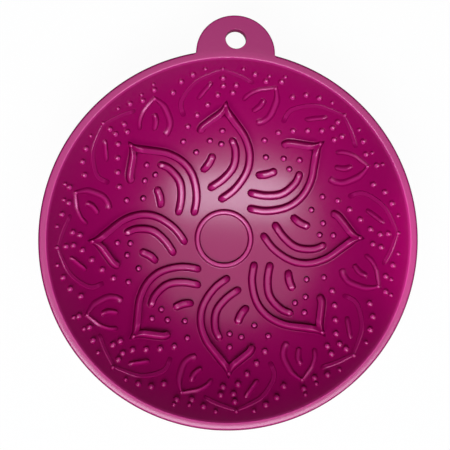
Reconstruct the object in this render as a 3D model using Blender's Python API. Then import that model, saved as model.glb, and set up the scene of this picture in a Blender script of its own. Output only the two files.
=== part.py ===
"""Wobble slow feeder bowl, in metres, +Z up, standing on its foot at z = 0.

The real bowl is one soft moulding.  Here every moulded feature is a solid of its own:
the bowl with its rim, the hang tab, the centre ring and each raised rib of the rosette.
"""
import math

import bmesh
import bpy
from mathutils import Matrix, Vector

# Bowl and rim, whose top falls a little towards the outside
RIM_OUTER_RADIUS = 0.1050
RIM_WIDTH = 0.0042
RIM_EDGE_RADIUS = 0.0010
RIM_FALL = math.radians(12.0)
BOWL_DEPTH = 0.0500
FLOOR_THICKNESS = 0.0055
FOOT_RADIUS = 0.0160

# Hang tab, falling with the top of the rim, its root let into the rim over a ledge
TAB_RADIUS = 0.0218
TAB_REACH = 0.0205
TAB_THICKNESS = 0.0036
TAB_EDGE_RADIUS = 0.0008
TAB_ROOT_DEPTH = 0.0022
TAB_LEDGE = 0.0012
TAB_SET_DOWN = 0.0002
HANG_HOLE_DIAMETER = 0.0114
HANG_HOLE_FROM_RIM = 0.0066

# Rosette on the floor: centre ring and eight equal sectors
SECTORS = 8
ROSETTE_TURN = math.radians(2.5)
ROSETTE_RIM_MARGIN = 0.0056
RING_RADIUS = 0.0159
RING_WIDTH = 0.0032
RING_HEIGHT = 0.0018

# Ribs of one sector: foot width, width at a tip or end, height
PETAL_WIDTH = 0.0043
PETAL_TIP_WIDTH = 0.0024
PETAL_HEIGHT = 0.0024
ARC_WIDTH = 0.0047
ARC_END_WIDTH = 0.0039
ARC_HEIGHT = 0.0024
DASH_WIDTH = 0.0047
DASH_END_WIDTH = 0.0040
DASH_HEIGHT = 0.0022
LEAF_WIDTH = 0.0026
LEAF_TIP_WIDTH = 0.0018
LEAF_HEIGHT = 0.0014
BUD_WIDTH = 0.0030
BUD_TIP_WIDTH = 0.0020
BUD_FOOT_WIDTH = 0.0046
BUD_HEIGHT = 0.0016
VEIN_WIDTH = 0.0024
VEIN_END_WIDTH = 0.0018
VEIN_HEIGHT = 0.0014

# Nubs of one sector, part of the bowl
NUB_DIAMETER = 0.0034
NUB_TOP_DIAMETER = 0.0019
NUB_HEIGHT = 0.0015
SMALL_NUB_DIAMETER = 0.0021
SMALL_NUB_TOP_DIAMETER = 0.0012
SMALL_NUB_HEIGHT = 0.0010
NUB_ROOT = 0.0008

# Fit between two solids of the moulding
SEAT_GAP = 0.0003

# Fineness of the solids
BOWL_STEPS = 56
FLOOR_STEPS = 12
WALL_STEPS = 9
EDGE_STEPS = 2
RING_STEPS = 32
TAB_STEPS = 24
TAB_ROOT_STEPS = 8
HOLE_STEPS = 24
NUB_STEPS = 5
RIB_STEP = 0.0050

# Strokes of one sector in shares of the rosette radius, petal tip on +Y.
# A share of RING_SHARE from the centre is the outer edge of the centre ring.
RING_SHARE = 0.183
PETAL_LONG = [(-0.028, 0.238), (0.068, 0.308), (0.140, 0.412), (0.157, 0.516), (0.124, 0.622),
              (0.051, 0.719), (0.014, 0.775), (0.000, 0.806)]
PETAL_SHORT = [(0.000, 0.806), (-0.024, 0.773), (-0.093, 0.718), (-0.136, 0.682), (-0.153, 0.642)]
ARC = [(-0.094, 0.310), (-0.004, 0.371), (0.059, 0.449), (0.069, 0.546), (0.040, 0.620)]
DASH = [(-0.140, 0.413), (-0.094, 0.467), (-0.066, 0.527)]
LEAF_LONG = [(-0.248, 0.735), (-0.269, 0.805), (-0.242, 0.866), (-0.180, 0.930), (-0.094, 0.975),
             (-0.028, 1.000)]
LEAF_SHORT = [(-0.028, 1.000), (0.024, 0.982), (0.090, 0.957), (0.163, 0.918)]
LEAF_VEIN = [(-0.084, 0.931), (-0.125, 0.888), (-0.171, 0.834)]
BUD_LONG = [(0.100, 0.825), (0.134, 0.860), (0.188, 0.883), (0.240, 0.889), (0.290, 0.894)]
BUD_SHORT = [(0.290, 0.894), (0.299, 0.850), (0.298, 0.812), (0.270, 0.742), (0.230, 0.710),
             (0.187, 0.699)]
BUD_VEIN = [(0.229, 0.834), (0.209, 0.801), (0.173, 0.775)]

NUBS = [(-0.014, 0.659), (-0.089, 0.601), (-0.018, 0.581),
        (-0.172, 0.533), (-0.252, 0.596), (-0.225, 0.683), (-0.170, 0.749), (-0.109, 0.807), (-0.050, 0.861),
        (-0.019, 0.911), (-0.023, 0.951), (0.057, 0.914), (0.040, 0.873),
        (-0.317, 0.870), (-0.270, 0.929), (-0.202, 0.967), (-0.130, 0.998),
        (0.094, 0.997), (0.163, 0.969), (0.230, 0.931), (0.320, 0.925)]
SMALL_NUBS = [(0.247, 0.957), (0.337, 0.949)]

# Cross-sections of a rib: side offset in half widths, rise in heights
BROAD_SECTION = [(-1.00, 0.00), (-0.80, 0.62), (-0.40, 1.00), (0.40, 1.00), (0.80, 0.62), (1.00, 0.00)]
SLIM_SECTION = [(-1.00, 0.00), (-0.50, 1.00), (0.50, 1.00), (1.00, 0.00)]

# Sizes that follow from the ones above
RIM_INNER_RADIUS = RIM_OUTER_RADIUS - RIM_WIDTH
OVERALL_HEIGHT = FLOOR_THICKNESS + BOWL_DEPTH
RIM_DROP = RIM_WIDTH * math.tan(RIM_FALL)
RIM_BAND_HEIGHT = RIM_DROP + TAB_SET_DOWN + (TAB_THICKNESS + SEAT_GAP) / math.cos(RIM_FALL) + TAB_LEDGE
FLOOR_RADIUS = (RIM_INNER_RADIUS ** 2 + BOWL_DEPTH ** 2) / (2 * BOWL_DEPTH)
FLOOR_CENTRE = Vector((0, 0, FLOOR_THICKNESS + FLOOR_RADIUS))
RING_EDGE = RING_RADIUS + RING_WIDTH / 2
ROSETTE_RADIUS = RIM_INNER_RADIUS - ROSETTE_RIM_MARGIN


def clear_scene():
    """Take every object of the start scene away."""
    for thing in list(bpy.data.objects):
        bpy.data.objects.remove(thing, do_unlink=True)


def rubber_material():
    """Satin magenta rubber of the whole moulding."""
    material = bpy.data.materials.new("magenta_rubber")
    material.use_nodes = True
    shader = material.node_tree.nodes["Principled BSDF"]
    shader.inputs["Base Color"].default_value = (0.30, 0.002, 0.085, 1.0)
    shader.inputs["Roughness"].default_value = 0.35
    shader.inputs["Metallic"].default_value = 0.0
    material.diffuse_color = (0.30, 0.002, 0.085, 1.0)
    return material


def add_object(name, mesh, material):
    """Link a mesh as a named object with smooth round faces and crisp corners."""
    for face in mesh.polygons:
        face.use_smooth = True
    mesh.set_sharp_from_angle(angle=math.radians(40))
    mesh.materials.append(material)
    thing = bpy.data.objects.new(name, mesh)
    bpy.context.scene.collection.objects.link(thing)
    return thing


def finish_mesh(name, work):
    """Turn a bmesh into a mesh with its faces outward."""
    bmesh.ops.recalc_face_normals(work, faces=work.faces)
    mesh = bpy.data.meshes.new(name)
    work.to_mesh(mesh)
    work.free()
    return mesh


def rounded_corner(before, corner, after, radius, steps):
    """Points of an arc that rounds one corner of a profile."""
    back = (before - corner).normalized()
    ahead = (after - corner).normalized()
    half = back.angle(ahead) / 2
    reach = radius / math.tan(half)
    centre = corner + (back + ahead).normalized() * (radius / math.sin(half))
    start = (corner + back * reach - centre).normalized()
    end = (corner + ahead * reach - centre).normalized()
    return [centre + start.slerp(end, k / steps) * radius for k in range(steps + 1)]


def bowl_profile():
    """Half section of the bowl, from the floor centre over the rim to the foot centre."""
    band_bottom = OVERALL_HEIGHT - RIM_BAND_HEIGHT
    wall_centre = (RIM_OUTER_RADIUS ** 2 + band_bottom ** 2 - FOOT_RADIUS ** 2) / (2 * band_bottom)
    wall_radius = math.hypot(FOOT_RADIUS, wall_centre)
    floor_angle = math.asin(RIM_INNER_RADIUS / FLOOR_RADIUS)
    foot_angle = math.asin(FOOT_RADIUS / wall_radius)
    band_angle = math.acos((wall_centre - band_bottom) / wall_radius)
    floor = []
    for k in range(FLOOR_STEPS + 1):
        angle = floor_angle * k / FLOOR_STEPS
        floor.append(Vector((FLOOR_RADIUS * math.sin(angle), 0,
                             FLOOR_CENTRE.z - FLOOR_RADIUS * math.cos(angle))))
    wall = []
    for k in range(WALL_STEPS + 1):
        angle = band_angle + (foot_angle - band_angle) * k / WALL_STEPS
        wall.append(Vector((wall_radius * math.sin(angle), 0, wall_centre - wall_radius * math.cos(angle))))
    rim_inner = Vector((RIM_INNER_RADIUS, 0, OVERALL_HEIGHT))
    rim_outer = Vector((RIM_OUTER_RADIUS, 0, OVERALL_HEIGHT - RIM_DROP))
    inner_edge = rounded_corner(floor[-2], rim_inner, rim_outer, RIM_EDGE_RADIUS, EDGE_STEPS)
    outer_edge = rounded_corner(rim_inner, rim_outer, wall[0], RIM_EDGE_RADIUS, EDGE_STEPS)
    return floor[:-1] + inner_edge + outer_edge + wall + [Vector((0, 0, 0))]


def make_bowl(material):
    """Revolve the half section with a Screw modifier, then let the tab root into the rim."""
    profile = bowl_profile()
    mesh = bpy.data.meshes.new("bowl_shell")
    mesh.from_pydata(profile, [(k, k + 1) for k in range(len(profile) - 1)], [])
    bowl = add_object("bowl_shell", mesh, material)
    screw = bowl.modifiers.new("revolve", "SCREW")
    screw.angle = 2 * math.pi
    screw.steps = BOWL_STEPS
    screw.render_steps = BOWL_STEPS
    screw.axis = "Z"
    screw.use_merge_vertices = True
    screw.merge_threshold = 0.00001
    screw.use_smooth_shade = True
    work = tab_block(SEAT_GAP, OVERALL_HEIGHT - TAB_THICKNESS - SEAT_GAP, OVERALL_HEIGHT + TAB_THICKNESS)
    tilt_tab(work)
    combine(bowl, "DIFFERENCE", "tab_seat_cutter", work, material)
    combine(bowl, "UNION", "nub_field", nub_field(), material)
    return bowl


def combine(thing, operation, name, work, material):
    """Cut a hidden tool out of an object, or join it on, with a Boolean modifier."""
    tool = add_object(name, finish_mesh(name, work), material)
    tool.hide_render = True
    tool.display_type = "WIRE"
    change = thing.modifiers.new(name, "BOOLEAN")
    change.operation = operation
    change.solver = "EXACT"
    change.object = tool


def nub_field():
    """Every nub of the floor: a short cone square off the floor, its root sunk in the bowl."""
    work = bmesh.new()
    for sector in range(SECTORS):
        for share in NUBS:
            add_nub(work, place(share, sector), NUB_DIAMETER, NUB_TOP_DIAMETER, NUB_HEIGHT)
        for share in SMALL_NUBS:
            add_nub(work, place(share, sector), SMALL_NUB_DIAMETER, SMALL_NUB_TOP_DIAMETER, SMALL_NUB_HEIGHT)
    return work


def add_nub(work, plan, diameter, top_diameter, height):
    """One nub over a plan position."""
    middle = floor_point(plan, (height - NUB_ROOT) / 2)
    upright = (FLOOR_CENTRE - middle).to_track_quat("Z", "Y").to_matrix().to_4x4()
    bmesh.ops.create_cone(work, cap_ends=True, segments=NUB_STEPS, radius1=diameter / 2,
                          radius2=top_diameter / 2, depth=height + NUB_ROOT,
                          matrix=Matrix.Translation(middle) @ upright)


def tab_block(grow, bottom, top):
    """Solid block of the tab's outline, a round end on an arc about the bowl, grown all round."""
    round_end = TAB_RADIUS + grow
    root = RIM_OUTER_RADIUS - TAB_ROOT_DEPTH - grow
    centre_y = RIM_OUTER_RADIUS + TAB_REACH - TAB_RADIUS
    corner_y = (root ** 2 - round_end ** 2 + centre_y ** 2) / (2 * centre_y)
    start = math.asin((corner_y - centre_y) / round_end)
    corner = math.asin(corner_y / root)
    outline = []
    for k in range(TAB_STEPS + 1):
        angle = start + (math.pi - 2 * start) * k / TAB_STEPS
        outline.append((round_end * math.cos(angle), centre_y + round_end * math.sin(angle), bottom))
    for k in range(1, TAB_ROOT_STEPS):
        angle = math.pi - corner + (2 * corner - math.pi) * k / TAB_ROOT_STEPS
        outline.append((root * math.cos(angle), root * math.sin(angle), bottom))
    work = bmesh.new()
    base = work.faces.new([work.verts.new(point) for point in outline])
    swept = bmesh.ops.extrude_face_region(work, geom=[base])
    upper = [item for item in swept["geom"] if isinstance(item, bmesh.types.BMVert)]
    bmesh.ops.translate(work, verts=upper, vec=(0, 0, top - bottom))
    return work


def tilt_tab(work):
    """Lean a level tab shape down towards the outside, and set it down so that no corner stands proud."""
    pivot = Vector((0, RIM_INNER_RADIUS, OVERALL_HEIGHT))
    bmesh.ops.rotate(work, verts=work.verts, cent=pivot, matrix=Matrix.Rotation(-RIM_FALL, 3, "X"))
    bmesh.ops.translate(work, verts=work.verts, vec=(0, 0, -TAB_SET_DOWN))


def make_tab(material):
    """Half-round tab with rounded free edges and the hang hole."""
    work = tab_block(0, OVERALL_HEIGHT - TAB_THICKNESS, OVERALL_HEIGHT)
    free_edges = []
    for edge in work.edges:
        level = abs(edge.verts[0].co.z - edge.verts[1].co.z) < SEAT_GAP
        clear_of_rim = min(v.co.xy.length for v in edge.verts) > RIM_OUTER_RADIUS
        if level and clear_of_rim:
            free_edges.append(edge)
    bmesh.ops.bevel(work, geom=free_edges, offset=TAB_EDGE_RADIUS, segments=EDGE_STEPS,
                    profile=0.5, affect="EDGES")
    tilt_tab(work)
    tab = add_object("hang_tab", finish_mesh("hang_tab", work), material)

    work = bmesh.new()
    bmesh.ops.create_cone(work, cap_ends=True, segments=HOLE_STEPS, radius1=HANG_HOLE_DIAMETER / 2,
                          radius2=HANG_HOLE_DIAMETER / 2, depth=3 * TAB_THICKNESS)
    bmesh.ops.translate(work, verts=work.verts,
                        vec=(0, RIM_OUTER_RADIUS + HANG_HOLE_FROM_RIM, OVERALL_HEIGHT - TAB_THICKNESS / 2))
    tilt_tab(work)
    combine(tab, "DIFFERENCE", "hang_hole_cutter", work, material)
    return tab


def floor_point(plan, lift):
    """Point over a plan position, lifted square off the round floor."""
    drop = math.sqrt(FLOOR_RADIUS ** 2 - plan.x ** 2 - plan.y ** 2)
    down = Vector((plan.x, plan.y, -drop)) / FLOOR_RADIUS
    return FLOOR_CENTRE + down * (FLOOR_RADIUS - lift)


def lift_off(point, lift):
    """Carry a point near the floor to a set height square off it."""
    return FLOOR_CENTRE + (point - FLOOR_CENTRE).normalized() * (FLOOR_RADIUS - lift)


def place(share, sector):
    """Plan position of a rosette share, turned into its sector."""
    span = (ROSETTE_RADIUS - RING_EDGE) / (1 - RING_SHARE)
    radius = RING_EDGE + (math.hypot(share[0], share[1]) - RING_SHARE) * span
    angle = math.atan2(share[1], share[0]) + ROSETTE_TURN + 2 * math.pi * sector / SECTORS
    return Vector((radius * math.cos(angle), radius * math.sin(angle), 0))


def smooth_stroke(points, step):
    """Even points on a smooth curve through the given points."""
    ends = [2 * points[0] - points[1]] + points + [2 * points[-1] - points[-2]]
    fine = []
    for a, b, c, d in zip(ends, ends[1:], ends[2:], ends[3:]):
        for k in range(16):
            t = k / 16
            bend = (2 * a - 5 * b + 4 * c - d) * t * t + (3 * b - a - 3 * c + d) * t ** 3
            fine.append((2 * b + (c - a) * t + bend) / 2)
    fine.append(points[-1])
    lengths = [0.0]
    for a, b in zip(fine, fine[1:]):
        lengths.append(lengths[-1] + (b - a).length)
    count = max(2, round(lengths[-1] / step))
    even = []
    k = 0
    for n in range(count):
        goal = lengths[-1] * n / count
        while lengths[k + 1] < goal:
            k += 1
        even.append(fine[k].lerp(fine[k + 1], (goal - lengths[k]) / (lengths[k + 1] - lengths[k])))
    return even + [points[-1]]


def rounded_end(path, width):
    """Path with two close points added at its first end, and the size of the rib at each."""
    ahead = path[1] - path[0]
    reach = min(width / 2, 0.6 * ahead.length)
    start = [path[0], path[0] + ahead.normalized() * 0.35 * reach, path[0] + ahead.normalized() * reach]
    return start + path[1:], [0.50, 0.82, 1.0]


def sweep_rib(name, path, section, widths, heights, material):
    """Carry a rib section along a floor path, with a mitre at each corner of the path."""
    points = [floor_point(plan, SEAT_GAP) for plan in path]
    work = bmesh.new()
    rings = []
    last = len(points) - 1
    for k, point in enumerate(points):
        into = (point - points[max(k - 1, 0)]).normalized() if k else (points[1] - point).normalized()
        out = (points[min(k + 1, last)] - point).normalized() if k < last else into
        along = (into + out).normalized()
        side = (FLOOR_CENTRE - point).cross(along).normalized() / max(along.dot(into), 0.35)
        ring = []
        for offset, rise in section:
            foot = point + side * (offset * widths[k] / 2)
            ring.append(work.verts.new(lift_off(foot, SEAT_GAP + rise * heights[k])))
        rings.append(ring)
    for ring, after in zip(rings, rings[1:]):
        for j in range(len(ring)):
            i = (j + 1) % len(ring)
            work.faces.new((ring[j], ring[i], after[i], after[j]))
    work.faces.new(rings[0])
    work.faces.new(rings[-1])
    return add_object(name, finish_mesh(name, work), material)


def make_stroke(name, sector, shares, section, width, end_width, height, material):
    """One open rib, full in the middle, slimmer and rounded at both ends."""
    path = smooth_stroke([place(share, sector) for share in shares], RIB_STEP)
    path, start = rounded_end(path, end_width)
    path, end = rounded_end(path[::-1], end_width)
    last = len(path) - 1
    widths = []
    for k in range(last + 1):
        swell = math.sin(math.pi * k / last)
        widths.append(end_width + (width - end_width) * swell)
    sizes = end + [1.0] * (last - 5) + start[::-1]
    heights = [height * size for size in sizes]
    widths = [wide * size for wide, size in zip(widths, sizes)]
    return sweep_rib(name, path, section, widths, heights, material)


def make_pointed(name, sector, strokes, section, widths, height, material):
    """Two strokes that meet in a pointed tip; widths at the first end, the tip and the last end."""
    first = smooth_stroke([place(share, sector) for share in strokes[0]], RIB_STEP)
    second = smooth_stroke([place(share, sector) for share in strokes[1]], RIB_STEP)
    first, start = rounded_end(first, widths[0])
    second, end = rounded_end(second[::-1], widths[2])
    sizes = start + [1.0] * (len(first) - 3 + len(second) - 4) + end[::-1]
    wide = []
    for k in range(len(first)):
        wide.append(widths[0] + (widths[1] - widths[0]) * (k / (len(first) - 1)) ** 2)
    for k in range(1, len(second)):
        wide.append(widths[2] + (widths[1] - widths[2]) * (1 - k / (len(second) - 1)) ** 2)
    heights = [height * size for size in sizes]
    wide = [w * size for w, size in zip(wide, sizes)]
    return sweep_rib(name, first + second[::-1][1:], section, wide, heights, material)


def make_ring(material):
    """Round rib about the centre of the floor."""
    work = bmesh.new()
    rings = []
    for k in range(RING_STEPS):
        angle = 2 * math.pi * k / RING_STEPS
        out = Vector((math.cos(angle), math.sin(angle), 0))
        ring = []
        for offset, rise in BROAD_SECTION:
            plan = out * (RING_RADIUS + offset * RING_WIDTH / 2)
            ring.append(work.verts.new(floor_point(plan, SEAT_GAP + rise * RING_HEIGHT)))
        rings.append(ring)
    for ring, after in zip(rings, rings[1:] + rings[:1]):
        for j in range(len(ring)):
            i = (j + 1) % len(ring)
            work.faces.new((ring[j], ring[i], after[i], after[j]))
    return add_object("centre_ring", finish_mesh("centre_ring", work), material)


def make_sector(sector, material):
    """All ribs of one sector of the rosette."""
    number = sector + 1
    make_pointed(f"petal_rib_{number}", sector, (PETAL_LONG, PETAL_SHORT), BROAD_SECTION,
                 (PETAL_WIDTH, PETAL_TIP_WIDTH, PETAL_WIDTH), PETAL_HEIGHT, material)
    make_stroke(f"petal_arc_{number}", sector, ARC, BROAD_SECTION,
                ARC_WIDTH, ARC_END_WIDTH, ARC_HEIGHT, material)
    make_stroke(f"petal_dash_{number}", sector, DASH, BROAD_SECTION,
                DASH_WIDTH, DASH_END_WIDTH, DASH_HEIGHT, material)
    make_pointed(f"leaf_rib_{number}", sector, (LEAF_LONG, LEAF_SHORT), SLIM_SECTION,
                 (LEAF_WIDTH, LEAF_TIP_WIDTH, LEAF_WIDTH), LEAF_HEIGHT, material)
    make_stroke(f"leaf_vein_{number}", sector, LEAF_VEIN, SLIM_SECTION,
                VEIN_WIDTH, VEIN_END_WIDTH, VEIN_HEIGHT, material)
    make_pointed(f"bud_rib_{number}", sector, (BUD_LONG, BUD_SHORT), SLIM_SECTION,
                 (BUD_WIDTH, BUD_TIP_WIDTH, BUD_FOOT_WIDTH), BUD_HEIGHT, material)
    make_stroke(f"bud_vein_{number}", sector, BUD_VEIN, SLIM_SECTION,
                VEIN_WIDTH, VEIN_END_WIDTH, VEIN_HEIGHT, material)


def main():
    """Build the whole bowl."""
    clear_scene()
    material = rubber_material()
    make_bowl(material)
    make_tab(material)
    make_ring(material)
    for sector in range(SECTORS):
        make_sector(sector, material)


main()
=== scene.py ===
# %% [markdown]
# # A wobble slow feeder bowl
# The real bowl is one soft magenta moulding: a round-bottomed bowl with a rounded rim, a half-round
# hang tab and a raised rosette on its floor that makes a dog eat slowly. The solids of the frame give
# the main sizes and places. This lesson dresses each of them with a finer surface, worked out with
# numpy, and a rubber finish.

# %% Load the frame
import math

import bpy
import numpy as np
from mathutils import Matrix, Vector


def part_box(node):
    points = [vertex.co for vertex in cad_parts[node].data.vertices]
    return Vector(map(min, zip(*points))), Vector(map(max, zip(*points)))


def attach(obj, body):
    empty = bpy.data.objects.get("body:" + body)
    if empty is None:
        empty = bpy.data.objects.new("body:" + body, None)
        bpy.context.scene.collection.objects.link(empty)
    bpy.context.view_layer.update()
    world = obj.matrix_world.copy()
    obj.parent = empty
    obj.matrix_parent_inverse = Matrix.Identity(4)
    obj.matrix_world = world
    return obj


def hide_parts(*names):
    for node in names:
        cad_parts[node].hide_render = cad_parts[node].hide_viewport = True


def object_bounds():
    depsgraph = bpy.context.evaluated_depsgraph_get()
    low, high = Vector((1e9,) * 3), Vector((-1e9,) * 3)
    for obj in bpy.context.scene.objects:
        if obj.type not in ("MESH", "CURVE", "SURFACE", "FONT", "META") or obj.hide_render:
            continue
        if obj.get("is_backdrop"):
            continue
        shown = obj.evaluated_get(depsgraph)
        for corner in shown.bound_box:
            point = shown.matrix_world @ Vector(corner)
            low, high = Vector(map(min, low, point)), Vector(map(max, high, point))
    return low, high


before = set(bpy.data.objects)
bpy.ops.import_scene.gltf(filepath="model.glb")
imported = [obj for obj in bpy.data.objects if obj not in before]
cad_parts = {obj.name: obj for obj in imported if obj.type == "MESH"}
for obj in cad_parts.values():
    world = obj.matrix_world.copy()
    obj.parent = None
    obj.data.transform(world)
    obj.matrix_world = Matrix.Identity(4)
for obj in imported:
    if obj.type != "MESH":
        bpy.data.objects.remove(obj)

cad_low, cad_high = (np.array(corner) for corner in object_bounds())
print("solids", len(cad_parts), "box in mm", np.round(1000 * (cad_high - cad_low), 1))

# %% [markdown]
# ## Sizes
# Sizes that the frame can tell are read from it, so the surfaces stay with the solids. The rest, such
# as the width of the rim, are written once, in metres, where they are first needed. The inside of the
# bowl is a cap of a sphere: its radius follows from the rim and the depth, and every rib and nub is
# lifted square off it.

# %% Sizes of the bowl and its round floor
MM = 0.001
TOP = 55.5 * MM
DEPTH = 50.0 * MM
RIM_WIDTH = 4.2 * MM
RIM_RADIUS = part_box("bowl_shell")[1].x
FLOOR_INNER = RIM_RADIUS - RIM_WIDTH
FLOOR_RADIUS = (FLOOR_INNER ** 2 + DEPTH ** 2) / (2 * DEPTH)
FLOOR_CENTRE = np.array([0.0, 0.0, TOP - DEPTH + FLOOR_RADIUS])
print("floor sphere radius in mm", round(FLOOR_RADIUS / MM, 1))

# %% [markdown]
# ## From a grid of points to a mesh
# Almost every surface here is a grid: one parameter runs along it and one runs round it. Modifiers
# could bend Blender's primitives into some of them, but a grid takes any formula, so a few helpers turn
# grids into closed meshes. A ring that shrinks to nothing is closed with one pole point, which shades
# better than thin faces.


# %% Faces of a grid
def grid_faces(rows, columns, close_rows=False):
    """Four-sided faces between neighbours of a grid; columns always wrap round, rows only if asked."""
    row = np.arange(rows if close_rows else rows - 1)[:, None]
    column = np.arange(columns)[None, :]
    here = row * columns
    after = (row + 1) % rows * columns
    beside = (column + 1) % columns
    corners = [here + column, here + beside, after + beside, after + column]
    return np.stack(corners, axis=-1).reshape(-1, 4)


def pole_faces(pole, first, columns, turn):
    """Three-sided faces between a pole point and the ring that starts at the index first."""
    column = np.arange(columns)
    beside = (column + 1) % columns
    ring = [first + beside, first + column] if turn else [first + column, first + beside]
    return np.stack([np.full(columns, pole)] + ring, axis=-1)


def tube_faces(rows, columns):
    """Faces of a tube of rings with a pole point at each end; the two poles come after the rings."""
    poles = rows * columns
    start_cap = pole_faces(poles, 0, columns, True)
    end_cap = pole_faces(poles + 1, poles - columns, columns, False)
    return grid_faces(rows, columns), start_cap, end_cap


print("a tube of 3 rings of 8 points has", sum(len(group) for group in tube_faces(3, 8)), "faces")

# %% Pieces from points and faces
SHARP_ANGLE = math.radians(50)


def add_piece(name, points, *face_groups):
    """New object at the origin, shaded smooth, from an array of points and arrays of faces."""
    mesh = bpy.data.meshes.new(name)
    faces = [face for group in face_groups for face in group.tolist()]
    mesh.from_pydata(points.reshape(-1, 3).tolist(), [], faces)
    mesh.polygons.foreach_set("use_smooth", np.ones(len(faces), dtype=bool))
    mesh.set_sharp_from_angle(angle=SHARP_ANGLE)
    piece = bpy.data.objects.new(name, mesh)
    bpy.context.scene.collection.objects.link(piece)
    return piece


def volume(points, faces):
    """Volume between the origin and the faces: a sixth of the triple products of each face's triangles."""
    corner = points.reshape(-1, 3)[faces]
    fan = np.cross(corner[:, 1:-1], corner[:, 2:])
    return np.einsum("ij,ikj->", corner[:, 0], fan) / 6


def add_solid(name, points, *face_groups):
    """Closed piece with its faces outward: all are turned round if their volume comes out negative."""
    turn = 1 if sum(volume(points, group) for group in face_groups) > 0 else -1
    return add_piece(name, points, *(group[:, ::turn] for group in face_groups))


def add_tube(name, rings):
    """Closed solid from rings of points (rows, columns, 3), with a pole point in the middle of each end."""
    poles = np.stack([rings[0].mean(axis=0), rings[-1].mean(axis=0)])
    points = np.concatenate([rings.reshape(-1, 3), poles])
    return add_solid(name, points, *tube_faces(*rings.shape[:2]))


def points_of(piece):
    """Array (n, 3) of a piece's points."""
    place = np.empty(3 * len(piece.data.vertices))
    piece.data.vertices.foreach_get("co", place)
    return place.reshape(-1, 3)


# %% [markdown]
# ## Rubber finish
# The moulding is a satin thermoplastic rubber. A single flat colour would look like paint, so the
# colour drifts a little over the bowl, as pigment does in a moulding, and a fine grain roughens the
# shine. Both read Object coordinates, so the finish runs on from one piece to the next without a seam.
# Edges and tops get painted light in pink, and the feet of raised shapes and outlines get painted shade in
# near black. Brush work could paint that, but here each piece has two attributes, painted_light and
# painted_shade, which a shade function works out from its shape. The bowl and tab have a plain shine, and
# raised shapes a stronger one that takes on the rubber's colour.

# %% Colours and grain of the rubber
RUBBER_DEEP = (0.290, 0.0004, 0.090, 1.0)
RUBBER_LIGHT = (0.325, 0.0007, 0.103, 1.0)
# pink of the painted light
RUBBER_PAINTED_LIGHT = (0.800, 0.0450, 0.350, 1.0)
# near black of the painted shade
RUBBER_PAINTED_SHADE = (0.072, 0.0001, 0.020, 1.0)
DRIFT = {"Scale": 22.0, "Detail": 3.0}
GRAIN = {"Scale": 900.0, "Detail": 2.0}
GRAIN_BUMP = {"Strength": 0.08, "Distance": 0.2 * MM}
GRAIN_ROUGHNESS = {"From Min": 0.3, "From Max": 0.7, "To Min": 0.20, "To Max": 0.26}
PAINTED_SHADE_SHINE = {"From Max": 0.35, "To Max": 0.06}
print("the colour drifts in waves of", round(1000 / DRIFT["Scale"]), "mm")


# %% Shader nodes
def feed(tree, node, inputs):
    """Set a node's inputs, by name or number, each to a value or to another node's output."""
    for socket, value in inputs.items():
        if isinstance(value, bpy.types.NodeSocket):
            tree.links.new(value, node.inputs[socket])
        else:
            node.inputs[socket].default_value = value


def add_node(tree, kind, output, inputs, **settings):
    """Named output of a new shader node with the given inputs and settings."""
    node = tree.nodes.new(kind)
    for name, value in settings.items():
        setattr(node, name, value)
    feed(tree, node, inputs)
    return node.outputs[output]


def mix_colours(tree, share, first, second):
    """Colour that goes from the first to the second as the share goes from 0 to 1."""
    inputs = {"Factor": share, "A": first, "B": second}
    return add_node(tree, "ShaderNodeMix", "Result", inputs, data_type="RGBA")


# %% Rubber materials
def make_rubber(name, shine_level, shine_tint):
    """Principled rubber: drifting colour, pink painted light, dark and dull painted shade, with a fine grain.
    """
    material = bpy.data.materials.new(name)
    material.use_nodes = True
    tree = material.node_tree
    place = tree.nodes.new("ShaderNodeTexCoord").outputs["Object"]
    drift = add_node(tree, "ShaderNodeTexNoise", "Fac", {"Vector": place, **DRIFT})
    grain = add_node(tree, "ShaderNodeTexNoise", "Fac", {"Vector": place, **GRAIN})
    painted_light = add_node(tree, "ShaderNodeAttribute", "Fac", {}, attribute_name="painted_light")
    painted_shade = add_node(tree, "ShaderNodeAttribute", "Fac", {}, attribute_name="painted_shade")
    colour = mix_colours(tree, drift, RUBBER_DEEP, RUBBER_LIGHT)
    # painted light, then painted shade, mixed into the drifting colour; the shine is dulled under painted
    # shade
    colour = mix_colours(tree, painted_light, colour, RUBBER_PAINTED_LIGHT)
    colour = mix_colours(tree, painted_shade, colour, RUBBER_PAINTED_SHADE)
    dulled = {"Value": painted_shade, "To Min": shine_level, **PAINTED_SHADE_SHINE}
    dulled = add_node(tree, "ShaderNodeMapRange", "Result", dulled)
    rough = add_node(tree, "ShaderNodeMapRange", "Result", {"Value": grain, **GRAIN_ROUGHNESS})
    bump = add_node(tree, "ShaderNodeBump", "Normal", {"Height": grain, **GRAIN_BUMP})
    shader = tree.nodes["Principled BSDF"]
    feed(tree, shader, {"Specular IOR Level": shine_level, "Specular Tint": shine_tint})
    feed(tree, shader, {"Base Color": colour, "Specular IOR Level": dulled})
    feed(tree, shader, {"Roughness": rough, "Normal": bump})
    return material


rubber = make_rubber("satin_magenta_rubber", shine_level=0.62, shine_tint=(1.0, 1.0, 1.0, 1.0))
relief_rubber = make_rubber("relief_magenta_rubber", shine_level=1.0, shine_tint=(1.0, 0.65, 0.84, 1.0))
low_rubber = make_rubber("low_relief_magenta_rubber", shine_level=1.0, shine_tint=(1.0, 0.50, 0.78, 1.0))
print("finishes", rubber.name, relief_rubber.name, low_rubber.name)


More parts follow.
